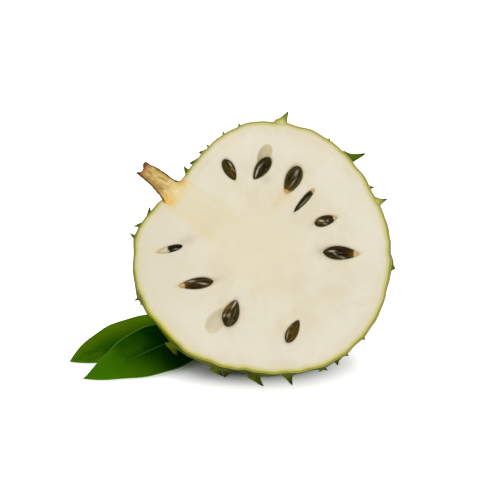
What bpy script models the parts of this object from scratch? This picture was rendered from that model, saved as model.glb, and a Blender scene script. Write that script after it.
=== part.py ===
"""Halved soursop: a spiny rind round white pulp, with seeds in pockets, a sliced stem and two leaves.

The fruit is modelled in the frame of its cut face: U runs right, V runs up the face and N points
out of it. The cut_face empty holds that frame, leans it back and lifts it, so that the fruit rests
on a small flat spot of its rind. The world origin is the middle of that spot, on the floor.
Lengths are in metres and angles in degrees.
"""

import math

import bmesh
import bpy
import numpy as np
from mathutils import Euler, Vector

# Place and lean of the cut face
FACE_CENTRE = (-0.0030, -0.0112, 0.0708)
LEAN = 32.0

# Fruit body: a radius about the face's centre, with the latitude 0 at the face and 90 at the back
RADIUS = 0.0682
BACK_DEPTH = 0.068
FACE_LATITUDE = -7.0
STEM_BEARING = 140.0
STEM_DIMPLE = 0.0086
STEM_DIMPLE_SPREAD = 24.0
BELLY = 0.0040
BELLY_LATITUDE = 50.0
BELLY_SPREAD = 30.0
# (turns per revolution, cosine part, sine part) of the face's unevenness
OUTLINE_WAVES = ((1, 0.0007, -0.0009), (2, 0.0003, 0.00025), (3, -0.0011, -0.0017))

RIND_THICKNESS = 0.0020
GAP = 0.0003
SKIN_COLUMNS = 44
SKIN_ROWS = 15
SKIN_FIRST_LATITUDE = -16.0
BOX_SIDE = 0.3
SHARP_ANGLE = 35.0

# Spines
SPINE_COUNT = 236
SPINE_FIRST_LATITUDE = 14.0
SPINE_FOOT_RADIUS = 0.0030
SPINE_TIP_RADIUS = 0.0005
SPINE_LENGTH = 0.0060
# Spines near the edge are shorter
NEAR_EDGE_LATITUDE = 28.0
NEAR_EDGE_SHARE = 0.55
SPINE_ROOT = 0.0011
SPINE_SMALLEST_FOOT = 0.45
SPINE_SIDES = 6
SPINE_LEAN = 22.0
SPINE_LENGTH_CHANGE = 0.2
# Radians from one spine to the next, which vary the lengths and the leans without order
SPINE_LENGTH_STEP = 2.3
SPINE_LEAN_STEP = 1.7
# No spines grow on the pressed spot, nor low on the left, where the rind lies over the leaves
LOWEST_SPINE = 0.001
LEAF_SIDE = -0.024
LOWEST_SPINE_OVER_LEAVES = 0.020
GOLDEN_ANGLE = 180.0 * (3.0 - math.sqrt(5.0))
# Spines cut or left along the face's edge: bearing, latitude, length, lean towards lower bearings
EDGE_SPINES = (
    (81, -6, 0.0070, 25), (59, -2, 0.0020, 0), (50, 3, 0.0098, 36), (30, -5, 0.0020, 0),
    (22, -6, 0.0054, 13), (352, -3, 0.0020, 0), (329, 9, 0.0030, 10), (318, -3, 0.0024, 0),
    (308, -2, 0.0024, -10), (297, 5, 0.0036, -20), (282, 4, 0.0062, -12), (267, 4, 0.0068, -32),
    (249, 4, 0.0048, -38), (227, 6, 0.0075, -38), (201, 3, 0.0032, 0), (174, -2, 0.0034, 5),
    (169, -4, 0.0032, -20), (162, -3, 0.0034, 20), (133, -3, 0.0034, 0), (126, -4, 0.0024, -25),
    (117, -4, 0.0022, 0), (108, -4, 0.0022, 10), (100, -4, 0.0020, 0),
)

# Seeds: middle (U, V), bearing of the pointed end, length, width, depth of the middle under the face
SEED_THICKNESS = 0.62
SEED_POINT = 0.42
SEEDS = (
    ((-0.0173, 0.0426), -62, 0.0130, 0.0066, 0.0008),
    ((0.0000, 0.0434), 234, 0.0146, 0.0076, 0.0006),
    ((0.0164, 0.0370), 244, 0.0162, 0.0090, 0.0006),
    ((0.0224, 0.0257), 229, 0.0162, 0.0034, 0.0004),
    ((0.0339, 0.0149), 17, 0.0125, 0.0060, 0.0008),
    ((0.0418, -0.0026), -3, 0.0196, 0.0078, 0.0008),
    ((-0.0490, -0.0006), 195, 0.0138, 0.0036, 0.0004),
    ((-0.0348, -0.0190), 188, 0.0192, 0.0066, 0.0010),
    ((-0.0162, -0.0349), 70, 0.0148, 0.0092, 0.0006),
    ((0.0161, -0.0445), 62, 0.0134, 0.0064, 0.0006),
)
# Hollows left in the pulp beside two of the seeds: middle (U, V), bearing, length, width, depth
HOLLOWS = (
    ((0.0022, 0.0515), 66, 0.0110, 0.0075, 0.0022),
    ((-0.0250, -0.0395), 36, 0.0120, 0.0095, 0.0024),
)

# Stem, sliced along its length: (distance from the root, radius) from its outer end to its root
STEM_ROOT = (-0.0405, 0.0262)
STEM_HEADING = 144.5
STEM_PROFILE = ((0.0278, 0.0), (0.0278, 0.0044), (0.0180, 0.0047), (0.0100, 0.0056),
                (0.0050, 0.0072), (0.0, 0.0060), (0.0, 0.0))
STEM_SIDES = 16
STEM_OFFSET = 0.0002
NOTCH_SIDE = 0.0035
NOTCH_LENGTH = 0.03

# Leaves: place of the tip, its heading, how far the leaf turns, length, width, place of the widest
# point, rise of the base, arch of the middle, roll at the tip and at the base
LEAVES = {
    "leaf_front": dict(tip=(-0.0990, -0.0262), heading=30, turn=20, length=0.101, width=0.0405, bias=1.00,
                       rise=0.0022, arch=0.0, roll=(1, 24), lift=0.0008),
    "leaf_back": dict(tip=(-0.1080, -0.0038), heading=32, turn=9, length=0.114, width=0.0450, bias=0.90,
                      rise=0.0, arch=0.0026, roll=(2, 5), lift=0.0003),
}
LEAF_THICKNESS = 0.0008
LEAF_FOLD = -3.0
LEAF_STALK = 0.10
LEAF_STALK_WIDTH = 0.0024
LEAF_POINT_WIDTH = 0.0004
LEAF_FULLNESS = 0.9
LEAF_COLUMNS = 24
LEAF_ROWS = 6


def clear_scene():
    for obj in list(bpy.data.objects):
        bpy.data.objects.remove(obj, do_unlink=True)


def new_collection(name, hidden=False):
    collection = bpy.data.collections.new(name)
    collection.hide_render = hidden
    bpy.context.scene.collection.children.link(collection)
    return collection


def new_material(name, colour, roughness):
    material = bpy.data.materials.new(name)
    material.use_nodes = True
    shader = material.node_tree.nodes["Principled BSDF"]
    shader.inputs["Base Color"].default_value = (*colour, 1.0)
    shader.inputs["Roughness"].default_value = roughness
    shader.inputs["Metallic"].default_value = 0.0
    return material


def object_from(bm, name, collection, material=None, parent=None):
    mesh = bpy.data.meshes.new(name)
    bm.to_mesh(mesh)
    bm.free()
    obj = bpy.data.objects.new(name, mesh)
    collection.objects.link(obj)
    obj.parent = parent
    if material:
        mesh.materials.append(material)
        mesh.shade_smooth()
        mesh.set_sharp_from_angle(angle=math.radians(SHARP_ANGLE))
    return obj


def as_cutter(obj):
    obj.hide_render = True
    obj.display_type = "WIRE"
    return obj


def add_boolean(obj, other, operation="DIFFERENCE"):
    modifier = obj.modifiers.new(f"{operation.lower()}_{other.name}", "BOOLEAN")
    modifier.operation = operation
    modifier.solver = "EXACT"
    modifier.object = other


def add_offset(obj, distance):
    modifier = obj.modifiers.new("offset", "DISPLACE")
    modifier.mid_level = 0.0
    modifier.strength = distance


def vertex_array(bm):
    return np.array([vert.co for vert in bm.verts])


def move_vertices(bm, points):
    for vert, point in zip(bm.verts, points):
        vert.co = point


def new_cut_face(collection):
    empty = bpy.data.objects.new("cut_face", None)
    empty.empty_display_size = RADIUS
    empty.location = FACE_CENTRE
    empty.rotation_euler = Euler((math.radians(90.0 - LEAN), 0.0, 0.0))
    collection.objects.link(empty)
    return empty


def closeness(bearing, latitude, centre_bearing, centre_latitude, spread):
    """1 at a direction on the fruit, fading with the angle away from it."""
    a, b = np.radians(bearing), np.radians(latitude)
    c, d = math.radians(centre_bearing), math.radians(centre_latitude)
    cosine = np.cos(b) * math.cos(d) * np.cos(a - c) + np.sin(b) * math.sin(d)
    return np.exp(-((np.degrees(np.arccos(np.clip(cosine, -1.0, 1.0))) / spread) ** 2))


def fruit_radius(bearing, latitude):
    radius = np.full(np.shape(bearing), RADIUS)
    for turns, cosine, sine in OUTLINE_WAVES:
        angle = np.radians(bearing) * turns
        radius = radius + (cosine * np.cos(angle) + sine * np.sin(angle)) * np.cos(np.radians(latitude))
    radius = radius - STEM_DIMPLE * closeness(bearing, latitude, STEM_BEARING, 0.0, STEM_DIMPLE_SPREAD)
    return radius + BELLY * closeness(bearing, latitude, 270.0, BELLY_LATITUDE, BELLY_SPREAD)


def skin_points(bearing, latitude):
    """(U, V, N) of the rind's outer side, with its flat spot where it would reach below the floor."""
    bearing, latitude = np.asarray(bearing, float), np.asarray(latitude, float)
    first = math.radians(FACE_LATITUDE)
    spread = np.cos(np.radians(latitude)) / math.cos(first)
    radius = fruit_radius(bearing, latitude)
    edge_excess = fruit_radius(bearing, np.full(np.shape(latitude), FACE_LATITUDE)) / RADIUS - 1.0
    u = radius * spread * np.cos(np.radians(bearing))
    v = radius * spread * np.sin(np.radians(bearing))
    n = BACK_DEPTH * (math.sin(first) * (1.0 + edge_excess * spread)
                      - radius / RADIUS * np.sin(np.radians(latitude)))
    lean = math.radians(LEAN)
    below = np.minimum(FACE_CENTRE[2] + v * math.cos(lean) + n * math.sin(lean), 0.0)
    return np.stack([u, v - below * math.cos(lean), n - below * math.sin(lean)], axis=-1)


def skin_sheet():
    """The rind's outer side as an open surface, from a grid wrapped round the fruit."""
    bm = bmesh.new()
    bmesh.ops.create_grid(bm, x_segments=SKIN_COLUMNS, y_segments=SKIN_ROWS, size=0.5)
    grid = vertex_array(bm)
    bearing = 360.0 * (grid[:, 0] + 0.5)
    latitude = SKIN_FIRST_LATITUDE + (90.0 - SKIN_FIRST_LATITUDE) * (grid[:, 1] + 0.5)
    move_vertices(bm, skin_points(bearing, latitude))
    bmesh.ops.remove_doubles(bm, verts=bm.verts, dist=1e-6)
    bm.normal_update()
    if sum(face.normal.dot(face.calc_center_median()) for face in bm.faces) < 0:
        bmesh.ops.reverse_faces(bm, faces=bm.faces)
    return bm


def skin_frame(bearing, latitude):
    """A point of the skin, its outward direction and the direction of rising bearing there."""
    step = 0.5
    here, along, back = skin_points([bearing, bearing + step, bearing], [latitude, latitude, latitude + step])
    sideways = Vector(along - here).normalized()
    outward = sideways.cross(Vector(back - here)).normalized()
    return Vector(here), -outward if outward.dot(Vector(here)) < 0 else outward, sideways


def add_spine(bm, bearing, latitude, length, lean):
    """A short pointed spine whose foot is sunk in the rind, leaning towards lower bearings."""
    foot, outward, sideways = skin_frame(bearing, latitude)
    turn = math.radians(lean)
    axis = (outward * math.cos(turn) - sideways * math.sin(turn)).normalized()
    fullness = SPINE_SMALLEST_FOOT + (1.0 - SPINE_SMALLEST_FOOT) * length / SPINE_LENGTH
    made = bmesh.ops.create_cone(
        bm, cap_ends=True, segments=SPINE_SIDES, radius1=SPINE_FOOT_RADIUS * min(1.0, fullness),
        radius2=SPINE_TIP_RADIUS, depth=length + SPINE_ROOT,
    )
    bmesh.ops.translate(bm, verts=made["verts"], vec=(0, 0, 0.5 * (length - SPINE_ROOT)))
    bmesh.ops.rotate(bm, verts=made["verts"], matrix=axis.to_track_quat("Z", "Y").to_matrix())
    bmesh.ops.translate(bm, verts=made["verts"], vec=foot)


def field_spines():
    """Bearing, latitude, length and lean of the spines behind the edge, on a sunflower spiral."""
    for i in range(SPINE_COUNT):
        latitude = math.degrees(math.asin(1.0 - 2.0 * (i + 0.5) / SPINE_COUNT))
        if latitude > SPINE_FIRST_LATITUDE:
            length = SPINE_LENGTH * (1.0 + SPINE_LENGTH_CHANGE * math.sin(SPINE_LENGTH_STEP * i))
            if latitude < NEAR_EDGE_LATITUDE:
                length *= NEAR_EDGE_SHARE
            lean = SPINE_LEAN * math.sin(SPINE_LEAN_STEP * i)
            yield (i * GOLDEN_ANGLE) % 360.0, latitude, length, lean


def has_room(foot):
    """Whether a spine fits at this point of the skin, given in the face's frame."""
    lean = math.radians(LEAN)
    side = FACE_CENTRE[0] + foot[0]
    height = FACE_CENTRE[2] + foot[1] * math.cos(lean) + foot[2] * math.sin(lean)
    return height > (LOWEST_SPINE_OVER_LEAVES if side < LEAF_SIDE else LOWEST_SPINE)


def make_spines(collection, cut_face):
    bm = bmesh.new()
    for bearing, latitude, length, lean in list(EDGE_SPINES) + list(field_spines()):
        if has_room(skin_frame(bearing, latitude)[0]):
            add_spine(bm, bearing, latitude, length, lean)
    return as_cutter(object_from(bm, "spines", collection, parent=cut_face))


def make_boxes(collection, cut_face):
    """The half space in front of the cut face, and the one under the floor."""
    boxes = []
    for name, parent, height in (("front_space", cut_face, 0.5), ("under_floor", None, -0.5)):
        bm = bmesh.new()
        bmesh.ops.create_cube(bm, size=BOX_SIDE)
        bmesh.ops.translate(bm, verts=bm.verts, vec=(0, 0, height * BOX_SIDE))
        boxes.append(as_cutter(object_from(bm, name, collection, parent=parent)))
    return boxes


def seed_mesh(length, width):
    """A flattened drop along X, from a sphere whose radius shrinks towards +X."""
    bm = bmesh.new()
    bmesh.ops.create_uvsphere(bm, u_segments=12, v_segments=8, radius=0.5)
    ball = vertex_array(bm)
    along, across = ball[:, 2], ball[:, :2]
    taper = 1.0 - SEED_POINT * (along + 0.5) ** 2
    points = np.stack([along * length, across[:, 0] * taper * width,
                       across[:, 1] * taper * width * SEED_THICKNESS], axis=-1)
    move_vertices(bm, points)
    return bm


def make_seeds(parts, cutters, cut_face, material):
    """The seeds, and for each a cutter that is one gap larger."""
    pockets = []
    for i, (middle, bearing, length, width, depth) in enumerate(SEEDS, start=1):
        seed = object_from(seed_mesh(length, width), f"seed_{i:02d}", parts, material, cut_face)
        seed.location = (*middle, -depth)
        seed.rotation_euler = (0.0, 0.0, math.radians(bearing))
        pocket = as_cutter(bpy.data.objects.new(f"pocket_{i:02d}", seed.data))
        cutters.objects.link(pocket)
        pocket.parent = cut_face
        pocket.location = seed.location
        pocket.rotation_euler = seed.rotation_euler
        add_offset(pocket, GAP)
        pockets.append(pocket)
    return pockets


def make_hollows(cutters, cut_face):
    hollows = []
    for i, (middle, bearing, length, width, depth) in enumerate(HOLLOWS, start=1):
        bm = bmesh.new()
        bmesh.ops.create_uvsphere(bm, u_segments=14, v_segments=8, radius=0.5)
        bmesh.ops.scale(bm, verts=bm.verts, vec=(length, width, 2.0 * depth))
        hollow = as_cutter(object_from(bm, f"hollow_{i:02d}", cutters, parent=cut_face))
        hollow.location = (*middle, 0.0)
        hollow.rotation_euler = (0.0, 0.0, math.radians(bearing))
        hollows.append(hollow)
    return hollows


def stem_profile():
    """The stem's turned profile, as an edge chain from its outer end to its root."""
    bm = bmesh.new()
    verts = [bm.verts.new((radius, 0.0, along)) for along, radius in STEM_PROFILE]
    for first, second in zip(verts, verts[1:]):
        bm.edges.new((first, second))
    return bm


def turn_stem(bm, name, collection, cut_face, material=None):
    obj = object_from(bm, name, collection, material, cut_face)
    obj.location = (*STEM_ROOT, STEM_OFFSET)
    obj.rotation_euler = (0.0, math.radians(90.0), math.radians(STEM_HEADING))
    obj.rotation_euler.rotate_axis("Z", math.pi / STEM_SIDES)
    screw = obj.modifiers.new("turn", "SCREW")
    screw.steps = screw.render_steps = STEM_SIDES
    screw.use_merge_vertices = True
    screw.merge_threshold = 1e-6
    return obj


def make_stem(parts, cutters, cut_face, material, front_space):
    stem = turn_stem(stem_profile(), "stem", parts, cut_face, material)
    socket = as_cutter(turn_stem(stem_profile(), "stem_socket", cutters, cut_face))
    add_offset(socket, GAP)
    bm = bmesh.new()
    bmesh.ops.create_cube(bm, size=1.0)
    bmesh.ops.scale(bm, verts=bm.verts, vec=(NOTCH_SIDE, NOTCH_SIDE, NOTCH_LENGTH))
    notch = as_cutter(object_from(bm, "stem_notch", cutters, parent=stem))
    notch.location = (0.0, 0.0, STEM_PROFILE[0][0])
    notch.rotation_euler = (0.0, math.radians(90.0), 0.0)
    notch.rotation_euler.rotate_axis("Z", math.radians(45.0))
    add_boolean(stem, notch)
    add_boolean(stem, front_space)
    return socket


def leaf_points(along, across, leaf):
    """The leaf's under side: a midrib that turns as it runs back from the tip, and two raised halves."""
    heading = np.radians(leaf["heading"] + leaf["turn"] * along)
    turn = math.radians(leaf["turn"])
    start = math.radians(leaf["heading"])
    rib_x = leaf["tip"][0] + leaf["length"] / turn * (np.sin(heading) - math.sin(start))
    rib_y = leaf["tip"][1] - leaf["length"] / turn * (np.cos(heading) - math.cos(start))
    blade = np.clip(along / (1.0 - LEAF_STALK), 1e-9, 1.0) ** leaf["bias"]
    half = 0.5 * leaf["width"] * np.maximum(np.sin(math.pi * blade), 0.0) ** LEAF_FULLNESS
    half = np.maximum(half, 0.5 * np.where(along < 0.5, LEAF_POINT_WIDTH, LEAF_STALK_WIDTH))
    roll = np.radians(leaf["roll"][0] + (leaf["roll"][1] - leaf["roll"][0]) * along)
    angle = roll + math.radians(LEAF_FOLD) * np.sign(across)
    aside = half * across
    height = leaf["lift"] + leaf["rise"] * along + leaf["arch"] * np.sin(math.pi * along)
    height = height + half * np.sin(np.abs(roll) + math.radians(abs(LEAF_FOLD)))
    return np.stack([rib_x - aside * np.cos(angle) * np.sin(heading),
                     rib_y + aside * np.cos(angle) * np.cos(heading),
                     height + aside * np.sin(angle)], axis=-1)


def make_leaf(name, leaf, parts, material):
    bm = bmesh.new()
    bmesh.ops.create_grid(bm, x_segments=LEAF_COLUMNS, y_segments=LEAF_ROWS, size=1.0)
    grid = vertex_array(bm)
    move_vertices(bm, leaf_points(0.5 * (grid[:, 0] + 1.0), grid[:, 1], leaf))
    bm.normal_update()
    if sum(face.normal.z for face in bm.faces) < 0:
        bmesh.ops.reverse_faces(bm, faces=bm.faces)
    obj = object_from(bm, name, parts, material)
    solidify = obj.modifiers.new("thickness", "SOLIDIFY")
    solidify.thickness = LEAF_THICKNESS
    solidify.offset = 1.0


def make_rind(parts, cut_face, material, spines, cutters):
    rind = object_from(skin_sheet(), "rind", parts, material, cut_face)
    solidify = rind.modifiers.new("thickness", "SOLIDIFY")
    solidify.thickness = RIND_THICKNESS
    solidify.offset = -1.0
    solidify.use_even_offset = False
    add_boolean(rind, spines, "UNION")
    for cutter in cutters:
        add_boolean(rind, cutter)


def make_pulp(parts, cut_face, material, cutters):
    bm = skin_sheet()
    bmesh.ops.holes_fill(bm, edges=[edge for edge in bm.edges if edge.is_boundary])
    pulp = object_from(bm, "pulp", parts, material, cut_face)
    add_offset(pulp, -(RIND_THICKNESS + GAP))
    for cutter in cutters:
        add_boolean(pulp, cutter)


def main():
    clear_scene()
    parts = new_collection("soursop_half")
    cutters = new_collection("cutters", hidden=True)
    green = new_material("rind_green", (0.115, 0.165, 0.022), 0.55)
    white = new_material("pulp_white", (0.78, 0.74, 0.58), 0.5)
    brown = new_material("seed_brown", (0.035, 0.022, 0.006), 0.25)
    bark = new_material("stem_brown", (0.42, 0.26, 0.11), 0.7)
    leaf_green = new_material("leaf_green", (0.014, 0.075, 0.006), 0.3)
    cut_face = new_cut_face(parts)
    front_space, under_floor = make_boxes(cutters, cut_face)
    spines = make_spines(cutters, cut_face)
    pockets = make_seeds(parts, cutters, cut_face, brown)
    hollows = make_hollows(cutters, cut_face)
    socket = make_stem(parts, cutters, cut_face, bark, front_space)
    make_rind(parts, cut_face, green, spines, [front_space, under_floor, socket])
    make_pulp(parts, cut_face, white, [front_space, socket, *pockets, *hollows])
    for name, leaf in LEAVES.items():
        make_leaf(name, leaf, parts, leaf_green)


main()
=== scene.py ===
import math

import bpy
import numpy as np
from mathutils import Matrix, Vector


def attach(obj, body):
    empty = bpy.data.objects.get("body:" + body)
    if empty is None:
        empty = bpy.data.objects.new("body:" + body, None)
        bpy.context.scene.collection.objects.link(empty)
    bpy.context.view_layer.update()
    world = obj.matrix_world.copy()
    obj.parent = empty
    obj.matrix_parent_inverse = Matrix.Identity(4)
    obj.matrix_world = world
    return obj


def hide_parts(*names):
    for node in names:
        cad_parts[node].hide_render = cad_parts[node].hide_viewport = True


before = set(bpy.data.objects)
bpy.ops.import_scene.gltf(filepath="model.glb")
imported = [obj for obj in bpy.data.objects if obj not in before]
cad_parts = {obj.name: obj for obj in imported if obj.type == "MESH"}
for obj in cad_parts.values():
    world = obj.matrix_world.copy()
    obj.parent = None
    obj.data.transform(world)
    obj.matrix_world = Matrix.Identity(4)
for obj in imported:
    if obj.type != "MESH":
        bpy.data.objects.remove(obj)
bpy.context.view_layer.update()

# Halved soursop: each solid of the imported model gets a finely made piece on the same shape.
# The fruit is worked out in the frame of its cut face: U right, V up the face, N out of it.
# Single sizes are in metres and degrees. Tables, what is worked out from them, and the sizes that
# say so are in millimetres.
MM = 0.001

# ---- sizes shared with the model
FACE_CENTRE = (-0.003, -0.0112, 0.0708)
LEAN = 32.0
RADIUS = 0.0682
BACK_DEPTH = 0.068
FACE_LATITUDE = -7.0
# The outline's waves: how many to a turn, and their cosine and sine parts
OUTLINE_WAVES = ((1, 0.7, -0.9), (2, 0.3, 0.25), (3, -1.1, -1.7))
# Dents (below 0) and swells of the skin: bearing, latitude, height, spread in degrees. The first is
# the dimple at the stem and the second the belly low at the back.
DENTS = (
    (140, 0, -8.6, 24), (270, 50, 4, 30), (28, -4, -1.6, 3.6), (40, -4, -0.6, 5), (64, -4, 0.7, 5),
    (95, -4, 0.9, 8), (117, -4, -0.7, 5), (157, -4, -0.8, 6), (173, -4, 0.8, 5), (182, -4, -0.5, 6),
    (9, -4, 0.9, 7), (355, -4, 1, 3), (215, 2, -1.2, 10), (259, 3, -1.7, 6), (275, 3, -1.6, 5),
    (290, 3, -1.4, 5), (314, 3, -1.6, 7), (327, 3, -1.2, 5), (338, 0, -0.8, 6), (198, -4, -0.5, 12),
    (218, 5, -1.2, 5), (262, 11, -1.3, 8), (282, 11, -1.8, 9), (303, 8, -1.2, 7), (244, 10, -0.6, 7),
)
# How far the cut spreads the soft rim outwards: bearing, spread
EDGE_SPREAD = (
    (206, 0), (212, 0.2), (218, -0.8), (225, -0.6), (232, 0.2), (238, 0.4), (244, -0.4), (252, -0.2),
    (262, -1.2), (272, -0.5), (280, -0.2), (286, 0.2), (294, 0.9), (304, 1.1), (314, 0.4), (326, 0.4),
    (340, 0),
)
EDGE_SPREAD_LATITUDE = 6.0
SCALLOP = 0.26  # millimetres
SCALLOP_LATITUDE = 40.0
RIND_THICKNESS = 0.002
GAP = 0.0003

SPINE_COUNT = 236
SPINE_FIRST_LATITUDE = 14.0
SPINE_LENGTH = 0.006
SPINE_LENGTH_CHANGE = 0.2
SPINE_LEAN = 22.0
SPINE_LENGTH_STEP = 2.3
SPINE_LEAN_STEP = 1.7
SPINE_FOOT = 0.00276
NEAR_EDGE_LATITUDE = 28.0
NEAR_EDGE_SHARE = 0.55
LOWEST_SPINE = 0.001
LOWEST_SPINE_OVER_LEAVES = 0.02
LEAF_SIDE = -0.024
GOLDEN_ANGLE = 180.0 * (3.0 - math.sqrt(5.0))

# Spines along the face's edge: bearing, latitude, length, lean towards lower bearings, foot
# radius and hook (how far the tip bends on, in lengths)
EDGE_SPINES = (
    (81, -6, 7, 25, 4, 0.05), (59, -2, 2, 0, 1.6, 0.1), (48, 3, 11.2, 34, 4.6, -0.1),
    (30, -5, 2.8, 0, 2, 0.2), (22, -6, 5.4, 13, 3.2, -0.05), (352, -3, 2, 0, 3, 0),
    (329, 9, 0.6, 10, 0.8, 0.1), (318, -6, 1.5, 0, 1.4, 0.1), (308, -6, 1.6, -10, 1.6, -0.2),
    (297, 5, 3.6, -58, 2, 0.2), (282, 4, 6.2, -12, 3.6, -0.15), (267, 4, 6.8, -32, 3.8, -0.3),
    (249, 4, 4.8, -38, 3.2, -0.6), (227, 6, 5.2, -34, 4.4, -0.5), (201, 3, 3.2, 0, 1.6, 0.1),
    (174, -2, 3.4, 5, 1.8, 0.3), (169, -4, 3.2, -20, 1.8, -0.4), (162, -3, 3.4, 20, 2.2, 0.5),
    (133, -2, 4, 0, 3, 0.5), (127, -2, 3.4, -25, 3.2, -0.3), (121, -3, 2.6, -20, 2.6, -0.2),
    (117, -4, 2.2, 0, 1.6, 0.2), (108, -4, 2.2, 10, 1.4, 0.2), (100, -4, 2, 0, 1.6, 0.1),
)
# Those below this latitude are cut through, and their green begins deeper in than the rim's
SLICED_LATITUDE = -4.5
SLICED_DEPTH_SHARE = 0.5

# Seeds: middle (U, V), bearing of the pointed end, length, width, depth of the middle
SEEDS = (
    (-17.3, 42.6, -62, 13, 6.6, 0.8), (0, 43.4, 234, 14.6, 7.6, 0.6),
    (16.4, 37, 244, 16.2, 9, 0.6), (22.4, 25.7, 229, 16.2, 3.4, 0.4),
    (33.9, 14.9, 17, 12.5, 6, 0.8), (41.8, -2.6, -3, 19.6, 7.8, 0.8),
    (-49, -0.6, 195, 13.8, 3.6, 0.4), (-34.8, -19, 188, 19.2, 6.6, 1),
    (-16.2, -34.9, 70, 14.8, 9.2, 0.6), (16.1, -44.5, 62, 13.4, 6.4, 0.6),
)
SEED_THICKNESS = 0.62
SEED_POINT = 0.42
# Empty hollows beside two of the seeds: the same, and how dark they are
HOLLOWS = ((1.2, 50.5, 241, 12.7, 7.6, 2.2, 1.15), (-23.8, -38.6, 54, 16, 10, 2.4, 0.75))

STEM_ROOT = (-0.0405, 0.0262)
STEM_HEADING = 144.5

LEAVES = {
    "leaf_front": dict(tip=(-99.0, -26.2), heading=30, turn=20, length=101, width=40.5,
                       bias=1.00, rise=2.2, arch=0.0, roll=(1, 24), lift=0.8),
    "leaf_back": dict(tip=(-108.0, -3.8), heading=32, turn=9, length=114, width=45,
                      bias=0.9, rise=0.0, arch=2.6, roll=(2, 5), lift=0.3),
}
LEAF_FOLD = -3.0
LEAF_STALK = 0.1
LEAF_STALK_WIDTH = 2.4  # millimetres
LEAF_POINT_WIDTH = 0.4  # millimetres
LEAF_FULLNESS = 0.9

# ---- sizes of the fine pieces
PULP_GRID = 261
PULP_BACK_ROWS = 9
PULP_EDGE = 0.0008
PULP_LIP = 0.0002
SEED_DENT = 0.0018
SEED_LIP = 0.00025
HOLLOW_SHARE = 0.8
RIND_COLUMNS = 480
RIND_ROWS = 150
RIND_INNER_ROWS = 9
RIND_INNER_LEVEL = 0.002
# The section of the rind's cut band: how far in from the skin, and how far in front of the face
CUT_BAND = (
    (2.2, -0.6), (1.8, -0.45), (1.4, -0.35), (1, -0.3), (0.84, -0.25), (0.76, -0.03),
    (0.6, 0), (0.4, 0), (0.2, 0), (0, 0),
)
MOUND = 0.0009
MOUND_SPREAD = 0.0042
CREASE = 0.00022
CREASE_SPREAD = 0.0009
WANDER = 0.0001
SPINE_SIDES, EDGE_SPINE_SIDES = 8, 24
SPINE_STOPS = np.array((-0.18, 0.0, 0.14, 0.34, 0.6, 0.84, 0.97))
EDGE_SPINE_STOPS = np.concatenate([[-0.25, -0.1], np.linspace(0.0, 0.98, 14)])
CUT_LEVEL = -0.00002
SEED_SIDES, SEED_RINGS = 80, 60
STEM_SIDES, STEM_RINGS = 96, 96
STEM_CLOSING = (0.9, 0.7, 0.45, 0.2)
LEAF_RINGS, LEAF_ACROSS = 200, 40


# ---- plane and mesh helpers
def cosd(angle):
    return np.cos(np.radians(angle))


def sind(angle):
    return np.sin(np.radians(angle))


def polar(radius, bearing):
    return radius * cosd(bearing), radius * sind(bearing)


def turned(x, y, angle):
    """(x, y) turned anticlockwise by the angle."""
    return x * cosd(angle) - y * sind(angle), x * sind(angle) + y * cosd(angle)


def unit(vectors):
    return vectors / np.maximum(np.linalg.norm(vectors, axis=-1, keepdims=True), 1e-12)


def step(value, low, high):
    """0 below low and 1 above high, with the cubic 3x2 - 2x3 between."""
    x = np.clip((value - low) / (high - low), 0.0, 1.0)
    return x * x * (3.0 - 2.0 * x)


def grid_quads(rows, columns, wrap=False):
    """The four corners of each cell of a grid of points, which closes round its columns if wrap."""
    row, column = np.meshgrid(np.arange(rows - 1), np.arange(columns - (not wrap)), indexing="ij")
    after = (column + 1) % columns
    corners = [row * columns + column, row * columns + after,
               (row + 1) * columns + after, (row + 1) * columns + column]
    return np.stack(corners, axis=-1).reshape(-1, 4)


def pole_triangles(ring, pole, inward=False):
    """A fan from one pole point to a closed ring of points."""
    after, pole = np.roll(ring, -1), np.full(len(ring), pole)
    return np.stack([after, ring, pole] if inward else [ring, after, pole], axis=-1)


def tube_faces(rows, columns):
    """The closed skin over rings of points and the two poles that are numbered after them."""
    rings = np.arange(rows * columns).reshape(rows, columns)
    return [grid_quads(rows, columns, wrap=True), pole_triangles(rings[0], rings.size, inward=True),
            pole_triangles(rings[-1], rings.size + 1)]


def with_poles(values, first=0.0, last=0.0):
    """The values of the rings' points, then those of the two poles."""
    return np.concatenate([np.ravel(values), (first, last)])


def round_grid(rows, sides):
    """Each row's value and each side's angle round it, as grids."""
    return np.meshgrid(rows, np.arange(sides) * 2.0 * math.pi / sides, indexing="ij")


def volume_of(points, faces):
    total = 0.0
    for group in faces:
        for second, third in ((1, 2), (2, 3))[: group.shape[1] - 2]:
            a, b, c = points[group[:, 0]], points[group[:, second]], points[group[:, third]]
            total += np.einsum("ij,ij->i", a, np.cross(b, c)).sum()
    return total


def new_object(name, data):
    made = bpy.data.objects.new(name, data)
    bpy.context.scene.collection.objects.link(made)
    return made


def new_piece(name, points, faces, finish, stands_for, values, sharp=None):
    """A closed piece at the origin. faces is a list of index arrays, turned round if they face in."""
    if volume_of(points, faces) < 0:
        faces = [group[:, ::-1] for group in faces]
    mesh = bpy.data.meshes.new(name)
    mesh.from_pydata(points.tolist(), [], [face for group in faces for face in group.tolist()])
    for key, value in values.items():
        value = np.asarray(value, np.float32)
        vector = value.ndim == 2
        layer = mesh.attributes.new(key, "FLOAT_VECTOR" if vector else "FLOAT", "POINT")
        layer.data.foreach_set("vector" if vector else "value", value.ravel())
    mesh.shade_smooth()
    if sharp:
        mesh.set_sharp_from_angle(angle=math.radians(sharp))
    mesh.materials.append(finish)
    mesh.update()
    piece = new_object(name, mesh)
    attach(piece, "root")
    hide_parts(stands_for)


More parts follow.
